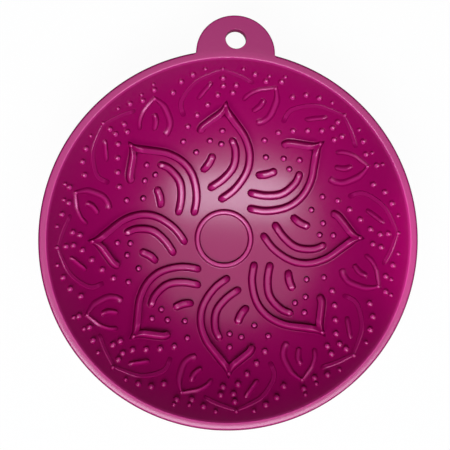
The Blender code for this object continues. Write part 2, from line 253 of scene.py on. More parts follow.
# %% Dressing a piece
def dress(piece, finish, shade, *nodes):
    """Give a piece its rubber and its painted light and shade, ride it on the one body, hide the solids it
    replaces.
    """
    piece.data.materials.append(finish)
    # the piece's painted light and painted shade, as two attributes
    for layer, values in zip(("painted_light", "painted_shade"), shade(points_of(piece))):
        piece.data.attributes.new(layer, "FLOAT", "POINT").data.foreach_set("value", values)
    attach(piece, "root")
    if nodes:
        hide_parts(*nodes)


# %% [markdown]
# ## Bowl
# A lathe shape: one half section carried round the axis. A Screw modifier would do, but the rim must
# lose its rounded outer edge where the tab joins it, so the section changes with the angle and the grid
# is worked out directly. The section runs from the middle of the floor over the rim and down the
# outside to the foot.


# %% Ramps and arcs
def ramp(value, start, end):
    """Zero at start and before it, one at end and past it, and the easy curve 3x^2 - 2x^3 between."""
    share = np.clip((value - start) / (end - start), 0.0, 1.0)
    return share * share * (3 - 2 * share)


def polar(radius, angle):
    """Points (radius cos angle, radius sin angle)."""
    return np.stack([radius * np.cos(angle), radius * np.sin(angle)], axis=-1)


def arc(middle, radius, start, end, count):
    """Points of an arc about a middle, between two angles."""
    return np.array(middle) + polar(radius, np.linspace(start, end, count))


# %% Top of the rim
RIM_FALL = math.radians(13.0)
RIM_SLOPE = math.tan(RIM_FALL)
RIM_INNER_SLOPE = -math.tan(math.radians(7.0))
RIM_SET_DOWN = 0.1 * MM
RIM_TOP = float(cad_high[2]) - RIM_SET_DOWN


def rim_height(radius):
    """Height of the rim's top: a bead whose slope grows evenly outwards, then the straight tab."""
    inside = np.minimum(radius - FLOOR_INNER, RIM_WIDTH)
    bend = (RIM_SLOPE - RIM_INNER_SLOPE) / (2 * RIM_WIDTH)
    outside = np.maximum(radius - RIM_RADIUS, 0)
    return RIM_TOP - RIM_INNER_SLOPE * inside - bend * inside ** 2 - RIM_SLOPE * outside


print("the rim's outer edge is", round((RIM_TOP - rim_height(RIM_RADIUS)) / MM, 2), "mm under its inner edge")

# %% Floor and inner edge of the rim
RIM_INNER_EDGE = 0.9 * MM
RIM_OUTER_EDGE = 1.3 * MM
POLE_ANGLE = 0.004
FLOOR_STEPS = 80
INNER_EDGE_STEPS = 9
RIM_TOP_STEPS = 8


def floor_and_rim():
    """Half section (radius, height) of the floor sphere, a rounded edge that touches it, and the rim's top.

    The edge's middle is its own radius outside the sphere and under the slope on which the top starts: a
    circle and a straight line, whose crossing is the root of a quadratic.
    """
    slope = RIM_INNER_SLOPE
    shift = RIM_TOP - RIM_INNER_EDGE * math.hypot(1, slope) - FLOOR_CENTRE[2] + FLOOR_INNER * slope
    reach = FLOOR_RADIUS + RIM_INNER_EDGE
    half = slope * shift / (1 + slope ** 2)
    radius = half + math.sqrt(half ** 2 - (shift ** 2 - reach ** 2) / (1 + slope ** 2))
    height = shift - slope * radius
    touch = math.atan2(height, radius)
    floor = arc((0, FLOOR_CENTRE[2]), FLOOR_RADIUS, POLE_ANGLE - math.pi / 2, touch, FLOOR_STEPS)
    middle = (radius, FLOOR_CENTRE[2] + height)
    edge = arc(middle, RIM_INNER_EDGE, touch + math.pi, math.pi / 2 - math.atan(slope), INNER_EDGE_STEPS)
    top = np.linspace(edge[-1, 0], RIM_RADIUS - RIM_OUTER_EDGE, RIM_TOP_STEPS)[1:-1]
    return np.concatenate([floor, edge[1:], np.stack([top, rim_height(top)], axis=-1)])


print("floor and inner edge", len(floor_and_rim()), "points")

# %% Outer edge of the rim
TAB_HALF_ANGLE = math.asin(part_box("hang_tab")[1].x / RIM_RADIUS)
TAB_BLEND = 0.008
LEAST_EDGE = 0.02 * MM
LEAD_IN = 0.1
OUTER_EDGE_STEPS = 10


def outer_edge(angles):
    """Rounded outer edge of the rim at each angle, nearly square where the tab runs on from it."""
    beside_tab = np.abs(angles - math.pi / 2) - TAB_HALF_ANGLE
    size = (RIM_OUTER_EDGE * ramp(beside_tab, 0, TAB_BLEND) + LEAST_EDGE)[:, None]
    turn = np.linspace(math.pi / 2 - RIM_FALL, 0, OUTER_EDGE_STEPS)
    middle = RIM_RADIUS - size
    height = rim_height(middle) - size * math.hypot(1, RIM_SLOPE)
    round_edge = np.stack([middle + size * np.cos(turn), height + size * np.sin(turn)], axis=-1)
    before = middle - LEAD_IN * size
    return np.concatenate([np.stack([before, rim_height(before)], axis=-1), round_edge], axis=1)


print("the tab takes up", round(math.degrees(2 * TAB_HALF_ANGLE), 1), "degrees of the rim")

# %% Outer wall and foot
RIM_BAND = 6.3 * MM
FOOT_RADIUS = 16.0 * MM
FOOT_SHARES = np.array([0.97, 0.50, 0.04])
WALL_STEPS = 60


def outer_wall():
    """Half section of a sphere through the bottom of the rim's band and the edge of the foot, then the foot.

    The sphere's middle is on the axis, as far from the one as from the other.
    """
    band = TOP - RIM_BAND
    middle = (RIM_RADIUS ** 2 + band ** 2 - FOOT_RADIUS ** 2) / (2 * band)
    radius = math.hypot(FOOT_RADIUS, middle)
    start = math.atan2(band - middle, RIM_RADIUS)
    wall = arc((0, middle), radius, start, -math.acos(FOOT_RADIUS / radius), WALL_STEPS)
    foot = np.stack([FOOT_RADIUS * FOOT_SHARES, np.zeros(len(FOOT_SHARES))], axis=-1)
    return np.concatenate([wall, foot])


print("outer wall and foot", len(outer_wall()), "points")

# %% Painted light and shade of the bowl
# painted highlight on the rim's inner edge, painted light on its top and painted shade on its outer edge
RIM_EDGE_PAINTED_HIGHLIGHT = 0.62
RIM_EDGE_WIDTH = 1.0 * MM
RIM_TOP_PAINTED_LIGHT = 0.19
RIM_OFF_TAB_PAINTED_LIGHT = 0.11
OUTLINE_PAINTED_SHADE = 0.6
FRONT_ANGLES = (0.0, 1.2)
OUTLINE_ANGLES = (0.0, 0.02)
RIM_TOP_RADII = (FLOOR_INNER, FLOOR_INNER + 0.6 * MM)
OUTLINE_RADII = (RIM_RADIUS - 1.1 * MM, RIM_RADIUS - 0.5 * MM)
LIT_HEIGHTS = (TOP - 9 * MM, TOP - 2 * MM)
OUTLINE_HEIGHTS = (TOP - 3 * MM, TOP - 2 * MM)


def bowl_shade(points):
    """Painted light on the rim, most at its inner edge and least by the tab, and painted shade outside it."""
    radius = np.hypot(points[:, 0], points[:, 1])
    beside_tab = np.abs(np.arctan2(points[:, 0], points[:, 1])) - TAB_HALF_ANGLE
    # painted highlight along the inner edge, painted light on the top that grows away from the tab, painted
    # shade outside
    edge = np.clip(1 - np.abs(radius - FLOOR_INNER) / RIM_EDGE_WIDTH, 0, 1)
    top = RIM_TOP_PAINTED_LIGHT + RIM_OFF_TAB_PAINTED_LIGHT * ramp(beside_tab, *FRONT_ANGLES)
    top *= ramp(radius, *RIM_TOP_RADII)
    outside = ramp(radius, *OUTLINE_RADII) * ramp(beside_tab, *OUTLINE_ANGLES)
    lit = np.maximum(RIM_EDGE_PAINTED_HIGHLIGHT * edge, top) * ramp(points[:, 2], *LIT_HEIGHTS)
    return lit, OUTLINE_PAINTED_SHADE * outside * ramp(points[:, 2], *OUTLINE_HEIGHTS)


# %% Bowl surface
BOWL_STEPS = 240
TAB_SIDE_ANGLE = 0.01
TAB_SIDE_STEPS = 6
even = np.linspace(0, 2 * math.pi, BOWL_STEPS, endpoint=False)
past_tab = TAB_HALF_ANGLE + np.linspace(0, TAB_SIDE_ANGLE, TAB_SIDE_STEPS)
angles = np.unique(np.concatenate([even, math.pi / 2 - past_tab, math.pi / 2 + past_tab]))
inner, outer = (np.tile(line, (len(angles), 1, 1)) for line in (floor_and_rim(), outer_wall()))
section = np.concatenate([inner, outer_edge(angles), outer], axis=1)
rings = np.concatenate([polar(section[..., 0], angles[:, None]), section[..., 1:]], axis=-1)
bowl = add_tube("bowl", rings.transpose(1, 0, 2))
dress(bowl, rubber, bowl_shade, "bowl_shell")
print("bowl", len(bowl.data.polygons), "faces")

# %% [markdown]
# ## Hang tab
# A flat plate with a round end, a round hole and soft edges. A Boolean could cut the hole, but seen
# from the middle of the hole the plate is one ring: at every angle a ray leaves the hole's edge and
# meets the outline. So the plate is a closed grid, angle by cross-section. It is drawn flat and then
# leans down with the rim, and its root runs in under the rim's top.

# %% Hang tab outline
TAB_RADIUS = 21.8 * MM
TAB_TIP = RIM_RADIUS + 20.6 * MM
TAB_ROOT = RIM_RADIUS - 1.6 * MM
HOLE_RADIUS = 5.7 * MM
HOLE_Y = RIM_RADIUS + 6.6 * MM


def tab_outline(angle):
    """Distance from the hole's middle to the outline along each angle: round end or root arc, the nearer one.

    Each is where a ray meets a circle, which is the root of a quadratic.
    """
    ray = polar(1.0, angle)
    from_end = np.array([0.0, HOLE_Y - (TAB_TIP - TAB_RADIUS)])
    along = ray @ from_end
    end = -along + np.sqrt(along ** 2 - from_end @ from_end + TAB_RADIUS ** 2)
    along = ray[:, 1] * HOLE_Y
    inside = along ** 2 - HOLE_Y ** 2 + TAB_ROOT ** 2
    root = np.where((inside > 0) & (along < 0), -along - np.sqrt(np.maximum(inside, 0)), np.inf)
    return np.minimum(end, root)


print("tab from hole to tip in mm", round(tab_outline(np.array([math.pi / 2]))[0] / MM, 1))

# %% Hang tab section
TAB_THICKNESS = 4.6 * MM
TAB_EDGE = 0.9 * MM
HOLE_EDGE = 0.3 * MM
TAB_EDGE_STEPS = 7
EDGE_START = -0.3


def tab_section():
    """Cross-section of the plate: whether a point hangs on the outline, its offset outwards and its depth.

    It rounds over the free edge to the underside and comes back up through the rounded edges of the hole.
    """
    quarter = np.linspace(0, math.pi / 2, TAB_EDGE_STEPS)
    fall = np.concatenate([[EDGE_START], np.sin(quarter), np.cos(quarter), [EDGE_START]])
    drop = np.concatenate([[0], 1 - np.cos(quarter), np.sin(quarter) - 1, [0]])
    offset = np.concatenate([(fall - 1) * TAB_EDGE, (1 - fall) * HOLE_EDGE])
    depth = TAB_THICKNESS * np.repeat([0, 1, 1, 0], len(quarter) + 1)
    on_outline = np.repeat([True, False], len(fall))
    return on_outline, offset, depth + np.concatenate([drop * TAB_EDGE, -drop * HOLE_EDGE])


# %% Hang tab surface
TAB_STEPS = 192
TAB_SET_DOWN = 0.01 * MM
TAB_LINE_PAINTED_SHADE = 0.7
TAB_LINE_DEPTHS = (0.15 * MM, 0.50 * MM)


def tab_shade(points):
    """Painted light on the plate, and painted shade where its edge and the wall of its hole turn down."""
    below = rim_height(np.hypot(points[:, 0], points[:, 1])) - points[:, 2]
    # painted light all over the plate, painted shade down its edge and in its hole
    return np.full(len(points), RIM_TOP_PAINTED_LIGHT), TAB_LINE_PAINTED_SHADE * ramp(below, *TAB_LINE_DEPTHS)


angle = np.linspace(0, 2 * math.pi, TAB_STEPS, endpoint=False)
on_outline, offset, depth = tab_section()
reach = np.where(on_outline, tab_outline(angle)[:, None], HOLE_RADIUS) + offset
across = reach * np.cos(angle)[:, None]
run = FLOOR_INNER + (HOLE_Y - FLOOR_INNER + reach * np.sin(angle)[:, None]) * math.cos(RIM_FALL)
under = depth + TAB_SET_DOWN
height = rim_height(np.hypot(across, run)) - under * math.cos(RIM_FALL)
plate = np.stack([across, run - under * math.sin(RIM_FALL), height], axis=-1)
tab = add_solid("hang_tab_plate", plate, grid_faces(*plate.shape[:2], close_rows=True))
dress(tab, rubber, tab_shade, "hang_tab")
print("tab", len(tab.data.polygons), "faces")

# %% [markdown]
# ## Points on the round floor
# The rosette is raised on the floor in eight equal sectors. A Shrinkwrap modifier could press a flat
# drawing onto the floor, but a sphere needs only a formula. The rosette is drawn in shares of its own
# radius: a share of 1 is about where the leaf tips lie, and RING_SHARE is the outer edge of the centre
# ring. Lifting a point moves it along the line to the middle of the sphere, which is square off the
# floor everywhere.

# %% Rosette layout and lifting
SECTORS = 8
ROSETTE_TURN = math.radians(2.35)
ROSETTE_RADIUS = FLOOR_INNER - 5.25 * MM
RING_RADIUS = 15.9 * MM
RING_WIDTH = 3.2 * MM
RING_SHARE = 0.183


def lay_out(shares):
    """Plan points (n, 2) of rosette shares, turned to the first sector."""
    x, y = np.array(shares).T
    ring_edge = RING_RADIUS + RING_WIDTH / 2
    span = (ROSETTE_RADIUS - ring_edge) / (1 - RING_SHARE)
    return polar(ring_edge + (np.hypot(x, y) - RING_SHARE) * span, np.arctan2(y, x) + ROSETTE_TURN)


def on_floor(plan):
    """Points of the sphere under plan points."""
    drop = np.sqrt(FLOOR_RADIUS ** 2 - (plan ** 2).sum(axis=-1, keepdims=True))
    return FLOOR_CENTRE + np.concatenate([plan, -drop], axis=-1)


def unit(vectors):
    """Vectors of length one in the same directions."""
    return vectors / np.linalg.norm(vectors, axis=-1, keepdims=True)


def lift(points, height):
    """Points carried to a height square off the sphere."""
    return FLOOR_CENTRE + unit(points - FLOOR_CENTRE) * (FLOOR_RADIUS - height)[..., None]


def spin(angle):
    """Matrix of a turn about the bowl's axis."""
    cos, sin = math.cos(angle), math.sin(angle)
    return np.array([[cos, -sin, 0], [sin, cos, 0], [0, 0, 1]])


def turned(points, sector):
    """Points turned about the bowl's axis into a sector."""
    return points @ spin(2 * math.pi * sector / SECTORS).T


print("a share of 1 lies", round(np.linalg.norm(lay_out([(0, 1)])) / MM, 1), "mm from the axis")

# %% [markdown]
# ## Strokes
# A stroke is the middle line of a rib. A Bezier curve would need handles as well as points, so a
# Catmull-Rom spline is used: it runs through a few given points, and between two of them it is
# a cubic whose slopes come from their neighbours. It is then resampled to even steps.

# %% Smooth stroke
STROKE_STEP = 0.6 * MM
FINE_STEPS = 40
FEWEST_POINTS = 8


def path_length(points):
    """Length along a path up to each of its points."""
    return np.concatenate([[0], np.cumsum(np.linalg.norm(np.diff(points, axis=0), axis=1))])


def smooth_stroke(shares, step=STROKE_STEP):
    """Even plan points on a Catmull-Rom curve through the given shares.

    Between b and c, with a before and d after them, the curve is half of
    2b + (c - a) t + (2a - 5b + 4c - d) t^2 + (3b - a - 3c + d) t^3.
    """
    points = lay_out(shares)
    ends = np.concatenate([2 * points[:1] - points[1:2], points, 2 * points[-1:] - points[-2:-1]])
    a, b, c, d = (ends[k:len(ends) - 3 + k, None] for k in range(4))
    t = np.linspace(0, 1, FINE_STEPS, endpoint=False)[None, :, None]
    fine = (2 * b + (c - a) * t + (2 * a - 5 * b + 4 * c - d) * t ** 2 + (3 * b - a - 3 * c + d) * t ** 3) / 2
    fine = np.concatenate([fine.reshape(-1, 2), points[-1:]])
    length = path_length(fine)
    even = np.linspace(0, length[-1], max(FEWEST_POINTS, int(length[-1] / step)))
    return np.stack([np.interp(even, length, fine[:, axis]) for axis in (0, 1)], axis=-1)


# %% [markdown]
# ## Ribs
# A rib is a section carried along its stroke. A curve with a bevel object could do that on a flat
# floor, but here the foot must follow the sphere and the ends must run out. Tall ribs have a soft
# crown, steep flanks and a small fillet at the foot; low ones just swell. At an open end a rib narrows
# to a round nose and its crest ramps down. At a pointed tip the two strokes meet: there the sections
# lean over until they lie in the mitre between the strokes, so the ridge turns the corner without a
# fold.

# %% Rib sections
RIB_SKIRT = 1.35
CROWN_FALL = 0.12
FILLET_HEIGHT = 0.06
BAR_BACK = 0.5
SWELL_BACK = 0.6


def bar_section(share):
    """Bar with a rounded back and steep flanks, down to 1, and a low hollow fillet out to RIB_SKIRT."""
    bar = (1 - CROWN_FALL * share ** 2) * ramp(np.abs(share), 1, BAR_BACK)
    fillet = FILLET_HEIGHT * np.clip((RIB_SKIRT - np.abs(share)) / (RIB_SKIRT - 1), 0, 1) ** 2
    return bar * (1 - fillet) + fillet


def swell_section(share):
    """Low swelling with a flat back and narrow soft edges: the same ramp over the outer part."""
    return ramp(np.abs(share), 1, SWELL_BACK)


def soft_section(share):
    """Soft swelling that runs out into the floor: cos^2 of a quarter turn over the half width."""
    return np.cos(share * math.pi / 2) ** 2


def dome_section(share):
    """Half of an ellipse: (1 - u^2)^(1/2) over the half width u."""
    return np.sqrt(1 - share ** 2)


print("half-way out, a bar stands at", round(bar_section(0.5), 2), "of its height")

# %% Painted light and shade of raised shapes
FLANK_TOP = 0.64
FLANK_FOOT = 0.08
BACK_SHARES = (0.5, 0.9)
BACK_EDGE = 0.88
BACK_EDGE_WIDTH = 0.10


def relief_shade(painted_back_light, edge, painted_shade, reach=FLANK_TOP):
    """Painted shade on flanks, painted light on the back and a painted highlight at its edge, by height
    share.
    """
    def shade(points):
        above = FLOOR_RADIUS - np.linalg.norm(points - FLOOR_CENTRE, axis=1)
        share = above / above.max()
        rounding = np.clip(1 - np.abs(share - BACK_EDGE) / BACK_EDGE_WIDTH, 0, 1)
        # a band of painted highlight along the rounded edge of the back
        lit = painted_back_light * ramp(share, *BACK_SHARES) + edge * rounding
        return lit, painted_shade * ramp(share, reach, 0) * ramp(share, 0, FLANK_FOOT)
    return shade


# painted light on backs and edges, and painted shade on flanks, of tall ribs and of low ones
rib_shade = relief_shade(painted_back_light=0.14, edge=0.20, painted_shade=1.0)
low_shade = relief_shade(painted_back_light=0.24, edge=0.0, painted_shade=0.45)

# %% Rib surface
SINK = 0.012 * MM
ROOT = 0.5 * MM
RIB_COLUMNS = 37


def rib_rings(plan, lean, widths, heights, section):
    """Rings of a rib: foot points set off sideways, and forward by lean, then lifted by the section.

    Sines of even angles set the points closer together at the flanks. The foot's edge sinks just under the
    floor, and two root points lie deeper.
    """
    floor = on_floor(plan)
    along = unit(np.gradient(floor, axis=0))
    up = (FLOOR_CENTRE - floor) / FLOOR_RADIUS
    side = unit(np.cross(up, along))
    widest = RIB_SKIRT if section is bar_section else 1.0
    share = widest * np.sin(np.linspace(-math.pi / 2, math.pi / 2, RIB_COLUMNS))
    half = widths[:, None] / 2
    root = np.full_like(half, -ROOT)
    offset = np.concatenate([share * half, widest * half, -widest * half], axis=1)
    height = np.concatenate([(heights[:, None] + SINK) * section(share) - SINK, root, root], axis=1)
    foot = floor[:, None] + offset[..., None] * (side[:, None] + lean[:, None, None] * along[:, None])
    return lift(foot, height)


# %% Open ribs
NOSE_POWERS = (2, 2)
RAMP_POWERS = (1.3, 1.6)
LEAST_WIDTH = 0.08


def nose(distance, length, power):
    """Share of the full size at a distance from an open end: a rounded nose of the given length."""
    inside = np.clip(1 - distance / length, 0, 1)
    return (1 - inside ** power) ** (1 / power)


def both_noses(run, lengths, powers):
    """Share of the full size along a rib that is rounded off at its first and last end."""
    return nose(run, lengths[0], powers[0]) * nose(run[-1] - run, lengths[1], powers[1])


def open_rib(shares, section, widths, height, noses, ramps):
    """Rings of a rib with two open ends; widths at its first end, middle and last end."""
    plan = smooth_stroke(shares)
    run = path_length(plan)
    wide = np.interp(run, [0, run[-1] / 2, run[-1]], widths)
    wide *= np.maximum(both_noses(run, noses, NOSE_POWERS), LEAST_WIDTH)
    tall = height * both_noses(run, ramps, RAMP_POWERS)
    return rib_rings(plan, np.zeros(len(plan)), wide, tall, section)


# %% Pointed ribs
TIP_START = 0.75
TIP_END = 0.30
TIP_DIP_LENGTH = 6.0 * MM


def mitre_lean(plan, tip, from_tip, lean_length):
    """Forward lean along a pointed rib: the tangent of half the corner at the tip, fading as a square."""
    before, at, after = on_floor(plan[tip - 1:tip + 2])
    into = unit(at - before)
    out = unit(after - at)
    corner = math.atan2(np.cross(into, out) @ unit(FLOOR_CENTRE - at), into @ out)
    return math.tan(corner / 2) * np.clip(1 - from_tip / lean_length, 0, 1) ** 2


def pointed_rib(strokes, section, widths, height, noses, ramps, lean_length, nose_powers=NOSE_POWERS,
                tip_dip=0.0):
    """Rings of a rib of two strokes that meet in a tip; widths at its first end, tip and last end.

    The width changes over the end of the first stroke and the start of the second. The crest may dip at
    the tip, by a share of its height. Each stroke has its own directions; both share the mitre ring.
    """
    first, second = (smooth_stroke(stroke) for stroke in strokes)
    plan = np.concatenate([first, second[1:]])
    tip = len(first) - 1
    run = path_length(plan)
    from_tip = np.abs(run - run[tip])
    marks = [0, TIP_START * run[tip], run[tip], run[tip] + TIP_END * (run[-1] - run[tip]), run[-1]]
    wide = np.interp(run, marks, [widths[0], widths[0], widths[1], widths[2], widths[2]])
    wide *= np.maximum(both_noses(run, noses, nose_powers), LEAST_WIDTH)
    dip = 1 - tip_dip * ramp(from_tip, TIP_DIP_LENGTH, 0)
    tall = height * dip * both_noses(run, ramps, RAMP_POWERS)
    lean = mitre_lean(plan, tip, from_tip, lean_length)
    before, after = (rib_rings(plan[part], sign * lean[part], wide[part], tall[part], section)
                     for sign, part in ((-1, slice(0, tip + 1)), (1, slice(tip, None))))
    return np.concatenate([before[:-1], (before[-1:] + after[:1]) / 2, after[1:]])


# %% The same rib in every sector
def repeat_rib(name, node, rings, finish, shade):
    """The same rib in every sector, each standing for its own solid."""
    for sector in range(SECTORS):
        piece = add_tube(f"{name}_{sector + 1}", turned(rings, sector))
        dress(piece, finish, shade, f"{node}_{sector + 1}")
    print(name, SECTORS, "pieces,", len(piece.data.polygons), "faces each")


# %% [markdown]
# ## Petals
# Each large petal is outlined by one rib that rises from the middle, swings out and comes to a point,
# then turns back. Inside it lie a long arc and a short dash. Their inner ends ramp down towards the
# middle. A mirrored half would be quicker to draw, but the petals swirl, so each stroke has points of
# its own.

# %% Petal ribs
PETAL_LONG = [(-0.033, 0.234), (0.068, 0.308), (0.140, 0.412), (0.157, 0.516), (0.124, 0.622),
              (0.051, 0.719), (0.013, 0.766), (0.000, 0.790)]
PETAL_SHORT = [(0.000, 0.790), (-0.026, 0.762), (-0.093, 0.716), (-0.136, 0.682), (-0.153, 0.642)]
petal = pointed_rib((PETAL_LONG, PETAL_SHORT), bar_section, widths=(4.5 * MM, 5.0 * MM, 4.8 * MM),
                    height=3.0 * MM, noses=(2.6 * MM, 2.2 * MM), ramps=(4.5 * MM, 3.5 * MM),
                    lean_length=10 * MM, tip_dip=0.5)
repeat_rib("petal_outline", "petal_rib", petal, relief_rubber, rib_shade)

# %% Petal arcs and dashes
ARC = [(-0.100, 0.306), (-0.004, 0.371), (0.059, 0.449), (0.069, 0.546), (0.040, 0.620)]
DASH = [(-0.140, 0.413), (-0.094, 0.467), (-0.066, 0.527)]
inner_arc = open_rib(ARC, bar_section, widths=(4.5 * MM, 4.7 * MM, 4.2 * MM), height=3.0 * MM,
                     noses=(2.6 * MM, 2.2 * MM), ramps=(4.2 * MM, 2.6 * MM))
repeat_rib("petal_inner_arc", "petal_arc", inner_arc, relief_rubber, rib_shade)
dash = open_rib(DASH, bar_section, widths=(4.4 * MM, 4.8 * MM, 4.4 * MM), height=2.8 * MM,
                noses=(2.4 * MM, 2.2 * MM), ramps=(5.0 * MM, 2.4 * MM))
repeat_rib("petal_inner_dash", "petal_dash", dash, relief_rubber, rib_shade)

# %% [markdown]
# ## Painted shade beside the petals
# On the outer side of each petal rib the floor gets a soft band of painted shade. The band is no new
# surface: the bowl's own painted_shade attribute is raised by the distance from the nearest petal
# stroke.

# %% Lines of the painted shade bands
SHADE_BAND_STEP = 1.5 * MM
SHADE_BAND_FROM_TIP = (50 * MM, 10 * MM)
SHADE_BAND_FROM_END = (0.0, 9 * MM)


def petal_lines():
    """Points along both strokes of a petal, their outward directions and the painted shade's strength there.
    """
    strokes = [smooth_stroke(shares, SHADE_BAND_STEP) for shares in (PETAL_LONG, PETAL_SHORT)]
    line = np.pad(np.concatenate(strokes), ((0, 0), (0, 1)))
    ahead = unit(np.concatenate([np.gradient(stroke, axis=0) for stroke in strokes]))
    away = np.stack([ahead[:, 1], -ahead[:, 0], np.zeros(len(ahead))], axis=-1)
    from_tip = np.linalg.norm(line - line[len(strokes[0]) - 1], axis=1)
    from_end = np.linalg.norm(line - line[-1], axis=1)
    return line, away, ramp(from_tip, *SHADE_BAND_FROM_TIP) * ramp(from_end, *SHADE_BAND_FROM_END)


print("shade_bands follow", len(petal_lines()[0]), "points of each petal")

# %% Painted shade outside the petals
SHADE_BAND_DARKNESS = 0.42
SHADE_BAND_START = 2.2 * MM
SHADE_BAND_END = 5.8 * MM
SHADE_BAND_SIDE = 1.5 * MM
SHADE_BAND_FACING = (-0.6, 0.6)
LIT_SHARE = 0.25
FLOOR_MARGIN = 0.05 * MM


def petal_painted_shade(points):
    """Painted shade share of floor points outside the petals, darker on the side away from the key lamp.

    The nearest point of a stroke gives the strength and the direction, and the share fades with its distance.
    """
    line, away, band_strength = petal_lines()
    every = np.arange(len(points))
    share = np.zeros(len(points))
    for sector in range(SECTORS):
        gap = points[:, None, :2] - turned(line, sector)[None, :, :2]
        distance = np.linalg.norm(gap, axis=2)
        nearest = distance.argmin(axis=1)
        facing = turned(away, sector)[nearest, :2]
        outside = (gap[every, nearest] * facing).sum(axis=1)
        dark = LIT_SHARE + (1 - LIT_SHARE) * ramp(facing[:, 1], *SHADE_BAND_FACING)
        dark *= ramp(distance[every, nearest], SHADE_BAND_END, SHADE_BAND_START) * ramp(outside, 0, SHADE_BAND_SIDE)
        share = np.maximum(share, band_strength[nearest] * dark)
    off_floor = np.abs(np.linalg.norm(points - FLOOR_CENTRE, axis=1) - FLOOR_RADIUS)
    return SHADE_BAND_DARKNESS * share * (off_floor < FLOOR_MARGIN)


# the painted shade bands beside the petals raise the bowl's painted shade attribute
layer = bowl.data.attributes["painted_shade"].data
darkness = np.empty(len(layer))
layer.foreach_get("value", darkness)
darkness = np.maximum(darkness, petal_painted_shade(points_of(bowl)))
layer.foreach_set("value", darkness)
print("painted_shade_marks on", int((darkness > 0.01).sum()), "points of the bowl")

# %% [markdown]
# ## Leaves and buds
# Nearer the rim the wall is steep, and the ribs there are slimmer and lower: a broad leaf outside each
# petal and a small bud between two leaves, each with one vein. They could be a bump in the finish, but
# the low light along the wall needs real edges, so they are ribs as well, with softer sections.

# %% Leaves
LEAF_LONG = [(-0.248, 0.735), (-0.269, 0.805), (-0.242, 0.866), (-0.180, 0.930), (-0.094, 0.970),
             (-0.028, 0.993)]
LEAF_SHORT = [(-0.028, 0.993), (0.024, 0.977), (0.090, 0.954), (0.163, 0.918)]
LEAF_VEIN = [(-0.084, 0.931), (-0.125, 0.888), (-0.171, 0.834)]
leaf = pointed_rib((LEAF_LONG, LEAF_SHORT), swell_section, widths=(3.2 * MM, 2.2 * MM, 3.2 * MM),
                   height=0.50 * MM, noses=(1.6 * MM, 1.6 * MM), ramps=(5.0 * MM, 5.0 * MM),
                   lean_length=8 * MM)
# painted light on the leaf's back and edges, painted shade on its flanks
leaf_shade = relief_shade(painted_back_light=0.09, edge=0.14, painted_shade=0.45, reach=1.2)
repeat_rib("leaf_outline", "leaf_rib", leaf, low_rubber, leaf_shade)
leaf_vein = open_rib(LEAF_VEIN, soft_section, widths=(3.6 * MM, 4.1 * MM, 3.6 * MM), height=1.6 * MM,
                     noses=(1.3 * MM, 1.3 * MM), ramps=(2.5 * MM, 4.0 * MM))
repeat_rib("leaf_middle_vein", "leaf_vein", leaf_vein, low_rubber, low_shade)

# %% Buds
BUD_LONG = [(0.100, 0.825), (0.134, 0.860), (0.188, 0.883), (0.240, 0.889), (0.290, 0.894)]
BUD_SHORT = [(0.290, 0.894), (0.299, 0.850), (0.298, 0.812), (0.270, 0.742), (0.230, 0.710), (0.187, 0.699)]
BUD_VEIN = [(0.231, 0.838), (0.209, 0.799), (0.160, 0.766)]
bud = pointed_rib((BUD_LONG, BUD_SHORT), soft_section, widths=(3.8 * MM, 2.4 * MM, 5.0 * MM),
                  height=1.1 * MM, noses=(1.7 * MM, 1.4 * MM), ramps=(4.0 * MM, 1.6 * MM), lean_length=7 * MM,
                  nose_powers=(2, 4))
repeat_rib("bud_outline", "bud_rib", bud, low_rubber, low_shade)
bud_vein = open_rib(BUD_VEIN, soft_section, widths=(4.2 * MM, 4.8 * MM, 4.0 * MM), height=1.8 * MM,
                    noses=(1.3 * MM, 1.3 * MM), ramps=(1.6 * MM, 2.4 * MM))
repeat_rib("bud_middle_vein", "bud_vein", bud_vein, low_rubber, low_shade)

# %% [markdown]
# ## Centre ring
# A round rib about the bare middle of the floor. A torus would be near it, but it lacks the steep
# flanks and the fillet, so the ring is the petals' section carried once round a circle, and the grid
# closes on itself in both directions. The first and last ring of points are at the same place, and
# their mean is kept.

# %% Centre ring surface
RING_HEIGHT = 2.4 * MM
RING_STEPS = 145
circle = polar(RING_RADIUS, np.linspace(0, 2 * math.pi, RING_STEPS))
full = np.ones(RING_STEPS)
ring = rib_rings(circle, 0 * full, RING_WIDTH * full, RING_HEIGHT * full, bar_section)
ring[0] = (ring[0] + ring[-1]) / 2
ring = ring[:-1]
centre_ring = add_solid("centre_ring_rib", ring, grid_faces(*ring.shape[:2], close_rows=True))
# painted light on the ring's back, painted shade on its flanks
dress(centre_ring, relief_rubber, relief_shade(painted_back_light=0.25, edge=0.0, painted_shade=1.0), "centre_ring")
print("centre ring", len(centre_ring.data.polygons), "faces")

# %% [markdown]
# ## Nubs
# Small domes fill the gaps in rows, and still smaller ones sit on the tips. In the frame the rows are
# part of the bowl's own solid, and those on the tips are only here. Spheres could be scattered as
# instances, but a nub stands square off the floor and has a foot in it, so all of them are one array:
# nub by ring by angle. A dome has only a few dozen faces, since it is repeated so often.

